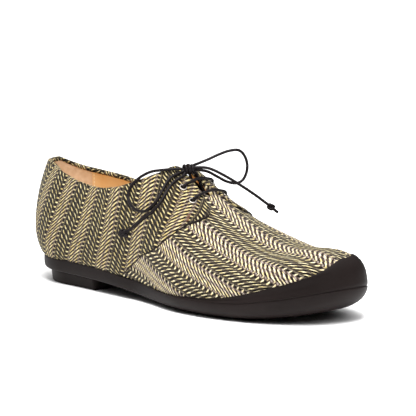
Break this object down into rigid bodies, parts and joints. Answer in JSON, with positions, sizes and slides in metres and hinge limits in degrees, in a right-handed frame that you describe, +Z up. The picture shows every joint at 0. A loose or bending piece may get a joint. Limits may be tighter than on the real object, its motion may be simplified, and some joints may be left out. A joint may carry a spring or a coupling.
{
  "type": "wool lace-up shoe",
  "caption": "Low lace-up shoe for the right foot in herringbone wool, lined with tan leather, with a black rubber sole, low heel and toe bumper and a thin black lace tied in a bow.",
  "frame": {"origin": "on the floor under the middle of the shoe", "axes": "+X from heel to toe, +Y to the inner side of the right foot, +Z up"},
  "size_m": [0.2646, 0.0915, 0.0934],
  "materials": {
    "sole_rubber": "matt moulded rubber",
    "herringbone_wool": "coarse herringbone weave in cream, taupe and black",
    "lining_leather": "smooth tan lining leather",
    "eyelet_nickel": "pale nickel plating",
    "lace_cord": "waxed round cord"
  },
  "bodies": {
    "root": {"outsole": "sole_rubber", "heel_block": "sole_rubber", "toe_bumper": "sole_rubber", "upper": "herringbone_wool", "insole": "lining_leather", "tongue": "lining_leather", "eyelet_upper_outer": "eyelet_nickel", "eyelet_upper_inner": "eyelet_nickel", "eyelet_lower_outer": "eyelet_nickel", "eyelet_lower_inner": "eyelet_nickel", "lace_bar_upper": "lace_cord", "lace_bar_lower": "lace_cord", "lace_knot": "lace_cord", "lace_loop_outer": "lace_cord", "lace_loop_inner": "lace_cord", "lace_end_outer": "lace_cord", "lace_end_inner": "lace_cord", "lace_tip_outer": "lace_cord", "lace_tip_inner": "lace_cord"}
  },
  "joints": []
}
